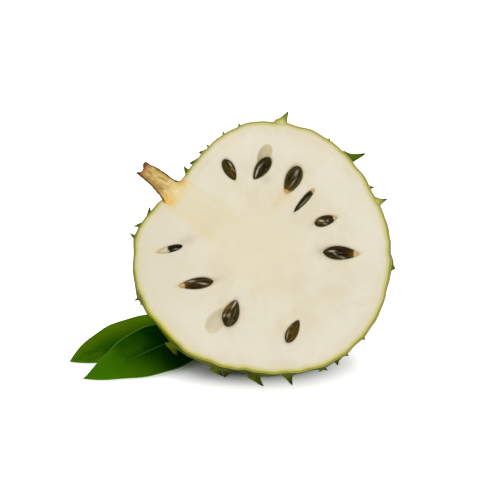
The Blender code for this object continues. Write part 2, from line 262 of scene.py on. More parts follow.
def join_shells(shells):
    """Several (points, faces, values) shells as one."""
    faces, first = [], 0
    for points, groups, _ in shells:
        inside_out = volume_of(points, groups) < 0
        faces += [(group[:, ::-1] if inside_out else group) + first for group in groups]
        first += len(points)
    values = {key: np.concatenate([shell[2][key] for shell in shells]) for key in shells[0][2]}
    return np.concatenate([shell[0] for shell in shells]), faces, values


# ---- the fruit's surfaces
def to_world(u, v, n):
    """(U, V, N) to the model's frame: leant back by LEAN and moved to FACE_CENTRE."""
    y, z = turned(v, n, 90.0 - LEAN)
    return np.stack([u, y, z], axis=-1) + np.array(FACE_CENTRE)


def on_floor(world):
    """Points that would be under the floor, lifted straight up to it."""
    return np.concatenate([world[..., :2], np.maximum(world[..., 2:], 0.0)], axis=-1)


def closeness(bearing, latitude, centre_bearing, centre_latitude, spread):
    """1 at a direction on the fruit, fading as exp(-(angle / spread) squared)."""
    cosine = (cosd(latitude) * cosd(centre_latitude) * cosd(bearing - centre_bearing)
              + sind(latitude) * sind(centre_latitude))
    return np.exp(-((np.degrees(np.arccos(np.clip(cosine, -1.0, 1.0))) / spread) ** 2))


def fruit_radius(bearing, latitude):
    """RADIUS with the outline's waves, the dents and swells, and two sines that scallop the edge and
    the rim that the cut spreads, which fade out behind it."""
    turn, swell = np.radians(bearing), 0.0
    for turns, cosine, sine in OUTLINE_WAVES:
        swell = swell + (cosine * np.cos(turns * turn) + sine * np.sin(turns * turn)) * cosd(latitude)
    for *centre, height, spread in DENTS:
        swell = swell + height * closeness(bearing, latitude, *centre, spread)
    scallop = 0.6 * np.sin(23.0 * turn + 1.6 * np.sin(5.0 * turn))
    scallop = scallop + 0.5 * np.sin(39.0 * turn + 2.0 * np.sin(3.0 * turn))
    rim = np.interp(np.asarray(bearing) % 360.0, *np.array(EDGE_SPREAD).T)
    swell = swell + SCALLOP * scallop * (1.0 - step(latitude, 0.0, SCALLOP_LATITUDE))
    swell = swell + rim * (1.0 - step(latitude, FACE_LATITUDE, EDGE_SPREAD_LATITUDE))
    return RADIUS + MM * swell


def face_radius(bearing):
    """The cut face's outline: the fruit's radius at the latitude of the cut."""
    return fruit_radius(bearing, FACE_LATITUDE)


def skin_points(bearing, latitude):
    """(U, V, N) of the skin: the radius spread over the cosine of the latitude, and BACK_DEPTH times
    its sine behind the face. What would be under the floor is lifted to it."""
    spread = cosd(latitude) / cosd(FACE_LATITUDE)
    radius = fruit_radius(bearing, latitude)
    edge_excess = face_radius(bearing) / RADIUS - 1.0
    u, v = polar(radius * spread, bearing)
    n = sind(FACE_LATITUDE) * (1.0 + edge_excess * spread) - radius / RADIUS * sind(latitude)
    n = n * BACK_DEPTH
    below = np.minimum(FACE_CENTRE[2] + v * cosd(LEAN) + n * sind(LEAN), 0.0)
    return np.stack([u, v - below * cosd(LEAN), n - below * sind(LEAN)], axis=-1)


# Middle of the fruit's body, from which the skin's mounds rise and its thickness is taken
BODY_MIDDLE = np.array((0.0, 0.0, -0.02))


def raised(points, height):
    """Points of the skin moved straight away from the body's middle."""
    return points + height * unit(points - BODY_MIDDLE)


def skin_frames(bearing, latitude):
    """Points of the skin, its outward directions and the directions of rising bearing."""
    apart = 0.5
    here = skin_points(bearing, latitude)
    sideways = unit(skin_points(bearing + apart, latitude) - here)
    outward = unit(np.cross(sideways, skin_points(bearing, latitude + apart) - here))
    return here, outward * np.sign((outward * here).sum(axis=-1, keepdims=True)), sideways


def field_spines():
    """The spines behind the edge, on a sunflower spiral, leaving out those on the pressed spot and
    over the leaves: number, length, lean, foot, outward and sideways directions."""
    i = np.arange(SPINE_COUNT)
    latitude = np.degrees(np.arcsin(1.0 - 2.0 * (i + 0.5) / SPINE_COUNT))
    foot, outward, sideways = skin_frames((i * GOLDEN_ANGLE) % 360.0, latitude)
    place = to_world(*foot.T)
    lowest = np.where(place[:, 0] < LEAF_SIDE, LOWEST_SPINE_OVER_LEAVES, LOWEST_SPINE)
    kept = (latitude > SPINE_FIRST_LATITUDE) & (place[:, 2] > lowest)
    length = SPINE_LENGTH * (1.0 + SPINE_LENGTH_CHANGE * np.sin(SPINE_LENGTH_STEP * i))
    length = np.where(latitude < NEAR_EDGE_LATITUDE, NEAR_EDGE_SHARE, 1.0) * length
    lean = SPINE_LEAN * np.sin(SPINE_LEAN_STEP * i)
    return [part[kept] for part in (i, length, lean, foot, outward, sideways)]


def edge_spines():
    """The spines of the edge: latitude, length, lean, foot radius, hook, and the same frame."""
    bearing, latitude, length, lean, radius, hook = np.array(EDGE_SPINES, float).T
    return latitude, length * MM, lean, radius * MM, hook, *skin_frames(bearing, latitude)


# ---- marks on the cut face
def cut_values(points, depth):
    """Values that every cut surface carries: millimetres from the skin, and millimetres along the
    stem from its root and across it, with its lower side positive."""
    aside = (points[:, :2] - np.array(STEM_ROOT)) / MM
    along, across = turned(*aside.T, -STEM_HEADING)
    return {"depth": depth / MM, "stem_along": along, "stem_across": across}


def seed_reach(u, v, middle_u, middle_v, bearing, length, width):
    """How far out from a seed's middle a place is: 1 on its outline, an oval that is tapered by
    SEED_POINT towards its point."""
    along, across = turned(u / MM - middle_u, v / MM - middle_v, -bearing)
    along, across = along / length, across / width
    taper = 1.0 - SEED_POINT * (np.clip(along, -0.5, 0.5) + 0.5) ** 2
    return 2.0 * np.hypot(along, across / taper)


def blots(u, v, marks):
    """Soft ovals added up: exp of minus the squared distance in half lengths and half widths."""
    total = 0.0
    for middle_u, middle_v, bearing, length, width, strength in marks:
        along, across = turned(u / MM - middle_u, v / MM - middle_v, -bearing)
        total = total + strength * np.exp(-4.0 * ((along / length) ** 2 + (across / width) ** 2))
    return total


# Marks: middle (U, V), bearing, length, width, strength. First warm stains, then painted grey
# shadows in the flesh by the seeds.
WARM_MARKS = (
    (12.8, 29, 66, 7, 6.4, 0.9), (9, 25.5, 66, 13, 5, 0.75), (18.5, 44.5, 60, 9, 10, 0.3),
    (-13, 34, 118, 8, 4, 0.35), (18, -35, 62, 8, 5, 0.35), (11, -42, 80, 12, 6, 0.2),
    (26.5, 32.5, 60, 5, 4, 0.3), (-17, 56, 30, 12, 6, 0.4), (-55.5, -0.8, 8, 8, 4, 0.6),
    (50, -2.8, 0, 7, 4, 0.3), (-44, -20, 10, 6, 4, 0.35),
)
PAINTED_SHADOW_MARKS = (
    (31, -1.8, 5, 7, 5, 0.5), (-23.5, -16.5, 10, 8, 3, 0.45), (-40, 4, 22, 10, 4.5, 0.6),
    (2.2, 37, 60, 6, 5, 0.4), (17.5, 18.5, 48, 4, 3, 0.4), (26.5, 12.5, 15, 4, 4, 0.35),
    (-13, -27, 70, 5, 4, 0.3), (51, -30, -20, 7, 0.8, 0.5),
)
# Painted highlights in streaks on the seeds' coats, and painted golden reflections in patches
PAINTED_GLINTS = (
    (-16.9, 45.2, -59, 3, 0.7, 0.55), (-15, 42.2, -55, 2.6, 0.6, 0.35),
    (-2.7, 40.8, 252, 5.2, 0.8, 0.8), (-0.8, 44.1, 235, 4, 1, 0.3),
    (18.4, 40.2, 68, 3.4, 1.2, 0.6), (16.6, 35, 55, 4.8, 0.8, 0.45),
    (22.6, 25, 47, 8, 0.6, 0.3), (31.6, 14.6, -10, 2.6, 1, 0.85),
    (33.3, 13.1, -10, 1.8, 0.7, 0.6), (34.8, 14.6, 60, 1.2, 0.9, 0.35),
    (36.8, -1.8, 0, 3.4, 0.8, 0.75), (38.6, -3.4, -35, 3, 0.6, 0.5),
    (42.8, -5.2, -20, 4, 0.9, 0.3), (-45.5, -0.6, 10, 2.6, 0.6, 0.4),
    (-37.5, -17.9, 5, 4, 0.8, 0.5), (-31.2, -19.2, -8, 4.6, 0.8, 0.75),
    (-14.3, -29.8, 60, 5.6, 0.9, 0.75), (-19.8, -36.2, 60, 1.8, 1.1, 0.5),
    (-17.6, -36.2, 60, 1.8, 1.1, 0.6), (13.4, -46.4, 75, 5, 0.7, 0.35),
    (15.1, -41.7, 40, 2.2, 0.8, 0.3),
)
PAINTED_GOLD_REFLECTIONS = (
    (-15.7, 39.4, -62, 8, 2.6, 0.25), (-18.1, -32.2, 55, 5.6, 3, 0.65),
    (-27, -17, -35, 3.6, 1.8, 0.5), (30, 13.5, 20, 6, 3, 0.15),
    (48, -4, 0, 4, 5, 0.4), (13.5, 31, 60, 6, 8, 0.55),
    (-41, -19.6, 5, 4, 6, 0.45), (17, -44, 70, 10, 2, 0.3),
)
# Seeds' coats: colour, share of paler streaks (partly the coat's own streaks, partly painted highlights),
# lighter keel, tan share of the pointed end and of the blunt end, how pale the tan is, ridges, how pointed
# the blunt end is
SEED_LOOKS = (
    ((46, 34, 4), 0.75, 0.1, 0, 0, 0, 0.5, 0.35), ((36, 30, 4), 0.45, 0.4, 0, 0, 0, 0.2, 0.1),
    ((46, 38, 6), 0.55, 0.8, 0.11, 0, 0.1, 0.3, 0), ((30, 28, 4), 0.5, 0.5, 0, 0.12, 0.1, 0.2, 0.2),
    ((46, 32, 4), 0.45, 0.2, 0.18, 0, 0.3, 0.2, 0.1), ((40, 25, 0), 0.45, 0.2, 0.16, 0, 0.1, 0.3, 0.9),
    ((22, 14, 0), 0.15, 0, 0.45, 0, 0.9, 0.1, 0), ((48, 32, 2), 0.45, 0.3, 0.18, 0, 0.1, 0.3, 0.75),
    ((42, 33, 4), 0.75, 0.5, 0, 0, 0.3, 1, 0.3), ((62, 47, 4), 0.75, 0.2, 0, 0, 0, 0.8, 0.35),
)


# ---- pieces
def disc_grid(size):
    """A square grid mapped to the unit disc: each square ring becomes a circle of points that are
    evenly spaced in angle. It gives the radius and the bearing of each point."""
    side = np.linspace(-1.0, 1.0, size)
    b, a = np.meshgrid(side, side, indexing="ij")
    wide = np.abs(a) >= np.abs(b)
    long = np.where(wide, a, b)
    angle = np.where(wide, 45.0, -45.0) * np.where(wide, b, a) / np.where(long == 0, 1.0, long)
    return np.abs(long), (angle + np.where(wide, 0.0, 90.0) + np.where(long < 0, 180.0, 0.0)) % 360.0


def border_ring(size):
    """Indices of a square grid's border, once round."""
    index = np.arange(size * size).reshape(size, size)
    return np.concatenate([index[0, :-1], index[:-1, -1], index[-1, :0:-1], index[:0:-1, 0]])


def make_pulp(finish):
    """The cut face as a height over a disc, with a dent for each seed and hollow, closed behind by
    a cup that lies inside the rind."""
    radius, bearing = disc_grid(PULP_GRID)
    u, v = polar((face_radius(bearing) - PULP_EDGE) * radius, bearing)
    reach = np.hypot(u, v)
    height, halo, hollow = np.zeros((3, *u.shape))
    for *outline, _ in SEEDS:
        out = seed_reach(u, v, *outline)
        height = height - SEED_DENT * (1.0 - step(out, 0.72, 1.1))
        height = height - SEED_LIP * (1.0 - step(out, 1.0, 1.35))
        # Painted shade round each seed's pocket, partly a brownish stain
        halo = np.maximum(halo, 1.0 - step(out, 1.02, 1.3))
    for *outline, sunk, stain in HOLLOWS:
        out = seed_reach(u, v, *outline)
        height = np.minimum(height, -HOLLOW_SHARE * sunk * MM * (1.0 - step(out, 0.3, 1.15)))
        shade = stain * (0.75 + 0.25 * step(out, 0.3, 0.95))
        hollow = np.maximum(hollow, shade * (1.0 - step(out, 0.92, 1.08)))
    face = np.stack([u, v, height], axis=-1).reshape(-1, 3)
    ring, inset = border_ring(PULP_GRID), RIND_THICKNESS + GAP
    latitude = np.linspace(FACE_LATITUDE, 90.0, PULP_BACK_ROWS + 2)[1:-1]
    turns, latitude = np.meshgrid(bearing.ravel()[ring], latitude)
    lip = polar(face_radius(turns[0]) - inset, turns[0])
    lip = np.stack([*lip, np.full(len(ring), -PULP_LIP)], axis=-1)
    back = np.concatenate([lip[None], raised(skin_points(turns, latitude), -inset)])
    points = np.concatenate([face, back.reshape(-1, 3), [raised(skin_points(0.0, 90.0), -inset)]])
    behind = np.zeros(len(points) - len(face))
    rows = np.concatenate([ring, len(face) + np.arange(len(behind) - 1)]).reshape(-1, len(ring))
    after = np.roll(rows, -1, axis=1)
    cup = np.stack([rows[:-1], rows[1:], after[1:], after[:-1]], axis=-1).reshape(-1, 4)
    faces = [grid_quads(PULP_GRID, PULP_GRID), cup, pole_triangles(rows[-1], len(points) - 1, inward=True)]
    depth = (face_radius(bearing) - reach).ravel()
    values = cut_values(points, np.concatenate([depth, behind + 0.03]))
    fibre = np.stack([*polar(9.0, bearing), 0.05 * reach / MM], axis=-1).reshape(-1, 3)
    values["fibre"] = np.concatenate([fibre, np.zeros((len(behind), 3))])
    marks = {"halo": halo, "hollow": hollow,
             "warm": blots(u, v, WARM_MARKS), "grey": blots(u, v, PAINTED_SHADOW_MARKS)}
    for key, mark in marks.items():
        values[key] = np.concatenate([mark.ravel(), behind])
    new_piece("pulp_flesh", to_world(*points.T), faces, finish, "pulp", values)


def spine_width(t):
    """A spine's radius along it, as a share of its foot's: a flare that narrows to a blunt tip."""
    rest = np.clip(1.0 - t, 0.0, 1.0)
    return np.where(t < 0, 1.0 - 0.5 * t, 0.6 * rest ** 0.75 + 0.4 * rest ** 5)


def cut_spine_depth(u, v):
    """How deep inside the cut spines a point of the face is: their radius less the distance from
    their bent middle line."""
    deepest = np.full(np.shape(u), -1.0)
    for latitude, length, lean, radius, hook, foot, outward, sideways in zip(*edge_spines()):
        if latitude < SLICED_LATITUDE:
            axis = unit((outward * cosd(lean) - sideways * sind(lean))[:2])
            across = unit(-sideways[:2])
            across = unit(across - axis * (across @ axis))
            t, off = ((u - foot[0]) * way[0] + (v - foot[1]) * way[1] for way in (axis, across))
            t = t / length
            off = off - hook * length * np.clip(t, 0.0, 1.0) ** 2
            inside = SLICED_DEPTH_SHARE * (radius * spine_width(t) - np.abs(off))
            deepest = np.where((t > -0.6) & (t < 1.0), np.maximum(deepest, inside), deepest)
    return deepest


def skin_relief(points, feet):
    """Mounds under the spines, exp(-(distance / spread) squared), and the creases between them,
    where the two nearest spines are equally far."""
    nearest, second = np.ones((2, *points.shape[:-1]))
    for foot in feet:
        distance = np.linalg.norm(points - foot, axis=-1)
        second = np.minimum(second, np.maximum(distance, nearest))
        nearest = np.minimum(nearest, distance)
    mound = np.exp(-((nearest / MOUND_SPREAD) ** 2))
    return mound, np.exp(-(((second - nearest) / CREASE_SPREAD) ** 2)) * (nearest < 0.02)


def make_rind(finish, feet):
    """One closed sheet round the fruit: up its inner side, out over the cut band, and back over the
    skin with its mounds, its creases and a fine unevenness."""
    bearing = np.arange(RIND_COLUMNS) * 360.0 / RIND_COLUMNS
    inner_latitude = np.linspace(90.0, FACE_LATITUDE, RIND_INNER_ROWS + 2)[1:-1]
    outer_latitude = np.linspace(FACE_LATITUDE, 90.0, RIND_ROWS)[:-1]
    outer_latitude[0] += 0.02
    inner = raised(skin_points(*np.meshgrid(bearing, inner_latitude)), -RIND_THICKNESS)
    inner[..., 2] = np.minimum(inner[..., 2], -RIND_INNER_LEVEL)
    band_depth, band_level = np.array(CUT_BAND).T[..., None] * MM
    reach = face_radius(bearing) - band_depth
    band = np.stack([*polar(reach, bearing), np.broadcast_to(band_level, reach.shape)], axis=-1)
    turns, latitude = np.meshgrid(bearing, outer_latitude)
    outer = skin_points(turns, latitude)
    mound, crease = skin_relief(outer, feet)
    from_edge = step(latitude, FACE_LATITUDE, FACE_LATITUDE + 9.0)
    crease = crease * from_edge
    wander = np.sin(0.11 * turns * cosd(latitude) + 0.3 * latitude) * np.sin(0.23 * latitude + 0.05 * turns)
    rise = (MOUND * mound + WANDER * wander * cosd(latitude)) * from_edge - CREASE * crease
    outer = raised(outer, rise[..., None])
    sheet = np.concatenate([inner, band, outer])
    poles = raised(skin_points(0.0, 90.0), -RIND_THICKNESS), skin_points(0.0, 90.0)
    points = np.concatenate([sheet.reshape(-1, 3), poles])

    def by_row(*parts):
        full = [np.broadcast_to(part, rows.shape[:2]) for part, rows in zip(parts, (inner, band, outer))]
        return with_poles(np.concatenate(full))

    depth = np.maximum(band_depth, cut_spine_depth(band[..., 0], band[..., 1]))
    values = cut_values(points, by_row(0.01, depth, 0.0))
    values |= {"cut": by_row(1.0, 1.0, 0.0), "mound": by_row(0.0, 0.0, mound),
               "crease": by_row(0.0, 0.0, crease), "spine": by_row(0.0, 0.0, 0.0)}
    faces = tube_faces(len(sheet), RIND_COLUMNS)
    new_piece("rind_skin", on_floor(to_world(*points.T)), faces, finish, "rind", values, sharp=50)


def spine_shell(foot, outward, sideways, length, lean, hook, hook_way, radius, sides, t, cut=False):
    """A round profile carried along a bent path: outward and leaning, with the tip bent on by the
    hook. On a cut spine, what would stand in front of the face is pressed flat to it."""
    axis = unit(outward * cosd(lean) - sideways * sind(lean))
    bend = unit(hook_way - axis * (hook_way @ axis))
    middle = foot + np.outer(t * length, axis) + np.outer(hook * length * np.clip(t, 0.0, 1.0) ** 2, bend)
    tangent = unit(np.gradient(middle, axis=0))
    first = unit(np.cross(tangent, np.cross(bend, tangent)))
    row, angle = round_grid(np.arange(len(t)), sides)
    width = radius * spine_width(t)[:, None]
    angle, other = angle[..., None], np.cross(tangent, first)
    ring = width[..., None] * (np.cos(angle) * first[row] + np.sin(angle) * other[row])
    tip = middle[-1] + tangent[-1] * 0.4 * radius * spine_width(t[-1])
    points = np.concatenate([(middle[row] + ring).reshape(-1, 3), middle[:1], tip[None]])
    in_front, depth = np.zeros((2, len(points)))
    if cut:
        in_front = (points[:, 2] > CUT_LEVEL - 1e-9).astype(float)
        off = np.abs(ring @ unit(np.cross(np.array((0.0, 0.0, 1.0)), axis)))
        half = np.sqrt(np.maximum(width ** 2 - middle[:, 2:] ** 2, 0.0))
        depth = in_front * with_poles(SLICED_DEPTH_SHARE * np.maximum(half - off, 0.0))
        points[:, 2] = np.minimum(points[:, 2], CUT_LEVEL)
    share = np.clip(t, 0.0, 1.0)[row]
    values = cut_values(points, depth)
    values |= {"cut": in_front, "mound": with_poles(1.0 - share, 1.0, 0.0),
               "crease": np.zeros(len(points)), "spine": with_poles(share, 0.0, 1.0)}
    return on_floor(to_world(*points.T)), tube_faces(len(t), sides), values


def make_spines(finish):
    """Every spine as a closed shell with its root in the rind. Each bends its own way."""
    shells = []
    for number, length, lean, foot, outward, sideways in zip(*field_spines()):
        bend = sideways * math.cos(2.4 * number) + np.cross(outward, sideways) * math.sin(2.4 * number)
        hook = 0.28 + 0.14 * math.sin(3.1 * number)
        shells.append(spine_shell(foot + 0.7 * MOUND * outward, outward, sideways, length, lean, hook, bend,
                                  SPINE_FOOT, SPINE_SIDES, SPINE_STOPS))
    for latitude, length, lean, radius, hook, foot, outward, sideways in zip(*edge_spines()):
        shells.append(spine_shell(foot, outward, sideways, length, lean, hook, -sideways, radius,
                                  EDGE_SPINE_SIDES, EDGE_SPINE_STOPS, latitude < SLICED_LATITUDE))
    points, faces, values = join_shells(shells)
    new_piece("rind_spines", points, faces, finish, "rind", values, sharp=60)


def make_seed(number, seed, look, finish):
    """A flattened drop: a ball whose radius is tapered towards its point, with a keel round its edge
    and fine ridges that run its length."""
    middle_u, middle_v, bearing, length, width, sunk = seed
    coat, light, keel, tan_point, tan_blunt, pale, ridges, blunt_point = look
    phi, theta = round_grid(np.linspace(0.0, math.pi, SEED_RINGS + 2)[1:-1], SEED_SIDES)
    along = -0.5 * np.cos(phi)
    across = 0.5 * np.sin(phi) ** (1.0 + blunt_point * (0.5 - along))
    across = across * (1.0 - SEED_POINT * (along + 0.5) ** 2)
    across = across * (1.0 + 0.035 * np.abs(np.cos(theta)) ** 14)
    ridge = np.sin(11.0 * theta + 2.0 * np.sin(7.0 * along + number)) * np.sin(phi)
    swell = np.sin(5.0 * along + 1.3 * number) * np.cos(theta + number)
    across = across * (1.0 + 0.012 * ridges * ridge) * (1.0 + 0.02 * swell)
    place = with_poles(along, -0.5, 0.5)
    aside = with_poles(across * np.cos(theta))
    level = with_poles(across * np.sin(theta) * SEED_THICKNESS)
    u, v = turned(place * length, aside * width, bearing)
    u, v = (u + middle_u) * MM, (v + middle_v) * MM
    tan = 0.0 * place
    for share, towards in ((tan_point, place), (tan_blunt, -place)):
        if share:
            tan = np.maximum(tan, step(towards, 0.4 - share, 0.62 - share))
    cosine, sine = (with_poles(wave(theta), *wave((0.0, 0.0))) for wave in (np.cos, np.sin))
    every, front = np.ones(len(place)), step(level, 0.0, 0.12)
    # Painted highlights and painted golden reflections go only on each seed's front side
    values = {"tan": tan, "pale": pale * every, "light": light * every, "ridges": ridges * every,
              "keel": keel * np.abs(cosine) ** 6, "coat": np.outer(every, paint(*coat)[:3]),
              "glint": blots(u, v, PAINTED_GLINTS) * front, "amber": blots(u, v, PAINTED_GOLD_REFLECTIONS) * front,
              "grain": np.stack([4.0 * cosine, 4.0 * sine, 2.0 * place + number], axis=-1)}
    points, node = to_world(u, v, (level * width - sunk) * MM), f"seed_{number:02d}"
    new_piece(f"{node}_coat", points, tube_faces(SEED_RINGS, SEED_SIDES), finish, node, values)


# Where the stem's rows begin and end along it, before its end is torn, and the poles: along it
# and out of the face, all in millimetres
STEM_FROM, STEM_TO = 1.5, 28.0
STEM_POLES = ((1.5, -3.0), (26.0, -2.2))


def stem_sides(s):
    """Half widths: the lower side widens to the root as 3.7 + 4.0 x^1.7, and the upper one flares as
    5.05 + 2.7 exp(-(s - 6.6) / 2.2), held within the fruit, and swells a little half way."""
    x = np.clip((28.0 - s) / 18.7, 0.0, 1.1)
    flare = 2.7 * np.exp(-(np.maximum(s, 5.2) - 6.6) / 2.2)
    return 5.05 + flare + 0.35 * np.exp(-(((s - 18.5) / 3.5) ** 2)), 3.7 + 4.0 * x ** 1.7


def stem_end(across):
    """Where the torn end lies: a broad prong on the upper side, a notch, and a thin lower prong."""
    broad = 1.7 * np.exp(-(np.abs((across + 2.9) / 1.9) ** 3))
    return 28.3 + broad + 1.8 * np.exp(-(np.abs((across - 3.5) / 1.2) ** 3))


def make_stem(finish):
    """A half-round section carried along the stem, flat in front where it is sliced, with an
    uneven bark behind, and closed by its torn end."""
    share = np.concatenate([np.linspace(0.0, 1.0, STEM_RINGS), np.ones(len(STEM_CLOSING))])
    size = np.concatenate([np.ones(STEM_RINGS), STEM_CLOSING])[:, None]
    part, angle = round_grid(share, STEM_SIDES)
    s = STEM_FROM + (STEM_TO - STEM_FROM) * part
    upper, lower = stem_sides(s)
    cosine, sine = np.cos(angle), np.sin(angle)
    half, front = np.where(cosine < 0, upper, lower), sine >= 0
    wear = 0.025 * np.sin(0.9 * s + 3.0 * sine) + 0.02 * np.sin(2.3 * s + 5.0 * angle)
    wear = wear + 0.03 * np.sin(1.7 * s) * np.sin(3.0 * angle)
    across = half * cosine * (1.0 + 0.6 * wear) * size
    flare = np.where(cosine < 0, -0.12, 0.05) * np.abs(cosine) ** 3
    across = across * (1.0 + step(s, 22.0, 27.0) * flare)
    s = np.where(part > 0.6, s + (stem_end(across) - STEM_TO) * step(part, 0.6, 1.0), s)
    sliced = 0.1 - 0.9 * (1.0 - step(s, 5.0, 8.2))
    fibres = 0.07 * np.sin(3.3 * across + 0.22 * s) + 0.05 * np.sin(6.1 * across - 0.31 * s + 1.0)
    sliced = sliced + fibres * step(s, 7.0, 10.0) * np.minimum(1.0, 2.0 * np.abs(sine))
    sliced = sliced * np.minimum(1.2 * size, 1.0) - 0.5 * (1.0 - size)
    bark = np.minimum(0.5 * (upper + lower), 5.4) * sine * (1.0 + wear) * size
    (first_s, first_n), (last_s, last_n) = STEM_POLES
    along, aside = with_poles(s, first_s, last_s), with_poles(across)
    u, v = turned(along, aside, STEM_HEADING)
    n = with_poles(np.where(front, sliced, bark), first_n, last_n)
    values = {"depth": with_poles(half * (1.0 - np.abs(cosine)) * size * front),
              "stem_along": along, "stem_across": aside, "bark": with_poles(~front, 1.0, 0.0),
              "torn": with_poles(np.broadcast_to(1.0 - size, s.shape), 0.0, 1.0)}
    points = to_world(STEM_ROOT[0] + MM * u, STEM_ROOT[1] + MM * v, MM * n)
    faces = tube_faces(len(share), STEM_SIDES)
    new_piece("stem_wood", points, faces, finish, "stem", values, sharp=50)


def leaf_points(along, across, leaf):
    """The leaf's under side: a midrib that turns as it runs back from the tip, and two halves that
    droop from it and are rolled along it."""
    heading = leaf["heading"] + leaf["turn"] * along
    bend = leaf["length"] / math.radians(leaf["turn"])
    rib_x = leaf["tip"][0] + bend * (sind(heading) - sind(leaf["heading"]))
    rib_y = leaf["tip"][1] - bend * (cosd(heading) - cosd(leaf["heading"]))
    blade = np.clip(along / (1.0 - LEAF_STALK), 1e-9, 1.0) ** leaf["bias"]
    half = 0.5 * leaf["width"] * np.maximum(np.sin(math.pi * blade), 0.0) ** LEAF_FULLNESS
    half = np.maximum(half, 0.5 * np.where(along < 0.5, LEAF_POINT_WIDTH, LEAF_STALK_WIDTH))
    roll = leaf["roll"][0] + (leaf["roll"][1] - leaf["roll"][0]) * along
    level, rise = polar(half * across, roll + LEAF_FOLD * np.sign(across))
    height = leaf["lift"] + leaf["rise"] * along + leaf["arch"] * np.sin(math.pi * along)
    height = height + half * sind(np.abs(roll) + abs(LEAF_FOLD))
    return rib_x - level * sind(heading), rib_y + level * cosd(heading), height + rise


def make_leaf(name, leaf, finish):
    """A thin closed blade on the leaf's surface: its upper side has a groove over the midrib and
    shallow troughs over the side veins, and its under side a raised midrib."""
    section = np.linspace(-1.0, 1.0, LEAF_ACROSS)
    section = np.concatenate([section, section[::-1]])
    a, c = np.meshgrid(np.linspace(0.0, 1.0, LEAF_RINGS) ** 1.05, section, indexing="ij")
    top = np.broadcast_to(np.arange(2 * LEAF_ACROSS) < LEAF_ACROSS, a.shape)
    rib = np.exp(-((c * 11.0) ** 2))
    veins = np.sin(2.0 * math.pi * (a * 13.0 + 1.9 * np.abs(c) ** 1.2))
    veins = veins * (1.0 - np.abs(c)) * np.abs(c) ** 0.3
    over = 0.32 + 0.4 * (1.0 - np.abs(c) ** 6) - 0.16 * rib + 0.045 * veins
    wave = 0.22 * np.sin(31.0 * a + 4.0 * np.sign(c)) * np.abs(c) ** 4
    x, y, z = leaf_points(a, c, leaf)
    z = np.maximum(z + np.where(top, over, 0.22 - 0.1 * rib) + wave, 0.1 + 0.2 * top)
    surface = np.stack([x, y, z], axis=-1) * MM
    points = np.concatenate([surface.reshape(-1, 3), surface[[0, -1]].mean(axis=1)])
    values = {"along": with_poles(a, last=1.0), "across": with_poles(c), "top": with_poles(top, 1.0, 1.0)}
    faces = tube_faces(LEAF_RINGS, 2 * LEAF_ACROSS)
    new_piece(f"{name}_blade", points, faces, finish, name, values, sharp=50)


# ---- finishes
# The studio lights a surface this much more than a display's white needs
SURFACE_LIGHT = 1.27


def paint(red, green, blue):
    """A colour from the display values out of 255 that it has in the studio's light, as the share
    of light that it reflects."""
    shares = [value / 255.0 for value in (red, green, blue)]
    linear = [s / 12.92 if s <= 0.04045 else ((s + 0.055) / 1.055) ** 2.4 for s in shares]
    return (*(value / SURFACE_LIGHT for value in linear), 1.0)


class Wire:
    """A socket of a finish: Python's operators join it to others with Math nodes."""

    def __init__(self, finish, socket):
        self.finish, self.socket = finish, socket

    def join(self, operation, *values):
        return self.finish.node("ShaderNodeMath", {"operation": operation}, dict(enumerate(values)))

    def __add__(self, other):
        return self.join("ADD", self, other)

    def __sub__(self, other):
        return self.join("SUBTRACT", self, other)

    def __rsub__(self, other):
        return self.join("SUBTRACT", other, self)

    def __mul__(self, other):
        return self.join("MULTIPLY", self, other)

    def __truediv__(self, other):
        return self.join("DIVIDE", self, other)

    def __pow__(self, other):
        return self.join("POWER", self, other)

    def __abs__(self):
        return self.join("ABSOLUTE", self)

    __radd__, __rmul__ = __add__, __mul__

    def sine(self):
        return self.join("SINE", self)

    def least(self, other):
        return self.join("MINIMUM", self, other)

    def step(self, low, high):
        """0 below low and 1 above high, smooth between."""
        return self.finish.node("ShaderNodeMapRange", {"interpolation_type": "SMOOTHSTEP"},
                                {"Value": self, "From Min": low, "From Max": high})

    def hill(self, centre, spread):
        """1 at centre, falling smoothly to 0 at spread on either side."""
        return 1.0 - abs(self - centre).step(0.0, spread)


